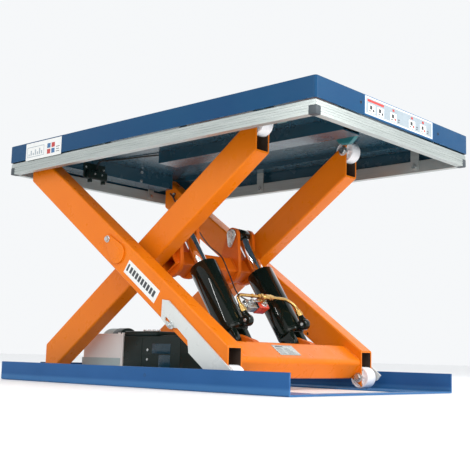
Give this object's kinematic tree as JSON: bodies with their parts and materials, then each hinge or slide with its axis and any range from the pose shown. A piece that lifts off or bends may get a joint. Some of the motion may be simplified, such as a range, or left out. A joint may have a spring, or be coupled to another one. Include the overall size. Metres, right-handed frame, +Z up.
{
  "type": "scissor lift table",
  "caption": "Low hydraulic scissor lift table: skirted rectangular platform with a touch bar round its edge, raised on crossed box-section legs with rollers, over a flat base.",
  "frame": {"origin": "on the floor under the centre of the platform", "axes": "+X along the table's length to its roller end, +Y across it to the side away from the power pack, +Z up"},
  "size_m": [1.35, 0.814, 0.812],
  "materials": {
    "blue_paint": "satin",
    "orange_paint": "satin",
    "zinc_steel": "satin",
    "chrome_rod": "polished",
    "black_paint": "gloss",
    "brass": "satin",
    "nylon": "satin",
    "bar_aluminium": "satin",
    "grey_plastic": "matte",
    "black_plastic": "satin",
    "light_grey_paint": "satin",
    "red_plastic": "gloss",
    "plate_aluminium": "satin"
  },
  "bodies": {
    "base": {"base_side_rails": "blue_paint", "base_tracks": "blue_paint", "base_pivot_crossmember": "blue_paint", "base_end_strip": "blue_paint", "base_pivot_lugs": "blue_paint", "base_pivot_pins": "zinc_steel", "power_pack_bearer": "blue_paint", "oil_tank": "light_grey_paint", "oil_tank_tray": "light_grey_paint", "control_box": "black_plastic", "pump_motor": "light_grey_paint", "pump_motor_band": "black_plastic"},
    "inner_frame": {"inner_leg_near": "orange_paint", "inner_leg_far": "orange_paint", "inner_crossbeam": "orange_paint", "rod_ear_plates": "orange_paint", "rod_pins": "zinc_steel", "rod_pin_keepers": "zinc_steel", "upper_roller_axles": "zinc_steel"},
    "outer_frame": {"outer_leg_near": "orange_paint", "outer_leg_far": "orange_paint", "outer_crosstube": "orange_paint", "cylinder_foot_lugs": "orange_paint", "cylinder_foot_pins": "zinc_steel", "type_plate": "plate_aluminium", "centre_pins": "zinc_steel", "centre_spacers": "zinc_steel", "centre_pin_keepers": "orange_paint", "centre_keeper_bolts": "zinc_steel", "lower_roller_axles": "zinc_steel", "strut_bolts": "zinc_steel"},
    "platform": {"deck_plate": "blue_paint", "skirt_sides": "blue_paint", "skirt_ends": "blue_paint", "deck_crossmember": "blue_paint", "deck_channel": "blue_paint", "deck_side_rails": "blue_paint", "upper_pivot_pins": "zinc_steel", "roller_end_stops": "blue_paint", "bar_guides": "blue_paint", "bar_switch": "black_plastic"},
    "touch_bar": {"safety_bar_sides": "bar_aluminium", "safety_bar_ends": "bar_aluminium", "safety_bar_fittings": "grey_plastic"},
    "rods": {"piston_rod_near": "chrome_rod", "piston_rod_far": "chrome_rod", "pistons": "zinc_steel"},
    "barrels": {"barrel_near": "black_paint", "barrel_far": "black_paint", "barrel_glands": "black_paint", "hydraulic_ports": "black_paint", "delivery_pipe": "brass", "valve_body": "zinc_steel", "solenoid_coil": "red_plastic"},
    "upper_wheel_near": {"upper_roller_near": "nylon"},
    "upper_wheel_far": {"upper_roller_far": "nylon"},
    "lower_wheel_near": {"lower_roller_near": "nylon"},
    "lower_wheel_far": {"lower_roller_far": "nylon"},
    "strut_near": {"safety_strut_near": "light_grey_paint"},
    "strut_far": {"safety_strut_far": "light_grey_paint"}
  },
  "joints": [
    {"name": "table_lift", "type": "hinge", "parent": "base", "child": "inner_frame", "pos_m": [-0.5917, 0, 0.0393], "axis": [0, -1, 0], "range_deg": [-31.4, 5.6]},
    {"name": "scissor_fold", "type": "hinge", "parent": "inner_frame", "child": "outer_frame", "pos_m": [-0.12655, 0, 0.4055], "axis": [0, -1, 0], "range_deg": [-11.5, 63.2]},
    {"name": "platform_level", "type": "hinge", "parent": "outer_frame", "child": "platform", "pos_m": [-0.5917, 0, 0.7717], "axis": [0, -1, 0], "range_deg": [-31.7, 5.9]},
    {"name": "rod_swing", "type": "hinge", "parent": "inner_frame", "child": "rods", "pos_m": [-0.05201, 0, 0.51122], "axis": [0, -1, 0], "range_deg": [-11.9, 65.2]},
    {"name": "cylinder_stroke", "type": "slide", "parent": "rods", "child": "barrels", "axis": [0.5609, 0, -0.8279], "range_m": [-0.1352, 0.0245]},
    {"name": "upper_roller_near_spin", "type": "hinge", "parent": "inner_frame", "child": "upper_wheel_near", "pos_m": [0.33859, -0.224, 0.7717], "axis": [0, 1, 0], "continuous": true},
    {"name": "upper_roller_far_spin", "type": "hinge", "parent": "inner_frame", "child": "upper_wheel_far", "pos_m": [0.33859, 0.224, 0.7717], "axis": [0, 1, 0], "continuous": true},
    {"name": "lower_roller_near_spin", "type": "hinge", "parent": "outer_frame", "child": "lower_wheel_near", "pos_m": [0.33859, -0.32, 0.0393], "axis": [0, 1, 0], "continuous": true},
    {"name": "lower_roller_far_spin", "type": "hinge", "parent": "outer_frame", "child": "lower_wheel_far", "pos_m": [0.33859, 0.32, 0.0393], "axis": [0, 1, 0], "continuous": true},
    {"name": "safety_bar_touch", "type": "slide", "parent": "platform", "child": "touch_bar", "axis": [0, 0, 1], "range_m": [0, 0.003], "stiffness_N_per_m": 2000},
    {"name": "strut_near_slot", "type": "slide", "parent": "outer_frame", "child": "strut_near", "axis": [0.7488, 0, -0.6628], "range_m": [0, 0.01]},
    {"name": "strut_far_slot", "type": "slide", "parent": "outer_frame", "child": "strut_far", "axis": [0.7488, 0, -0.6628], "range_m": [0, 0.01]}
  ],
  "couplings": [
    {"joint": "scissor_fold", "follows": "table_lift", "ratio": -2},
    {"joint": "platform_level", "follows": "table_lift", "ratio": 1},
    {"joint": "rod_swing", "follows": "table_lift", "ratio": -2.064},
    {"joint": "cylinder_stroke", "follows": "table_lift", "m_per_rad": 0.2456}
  ]
}
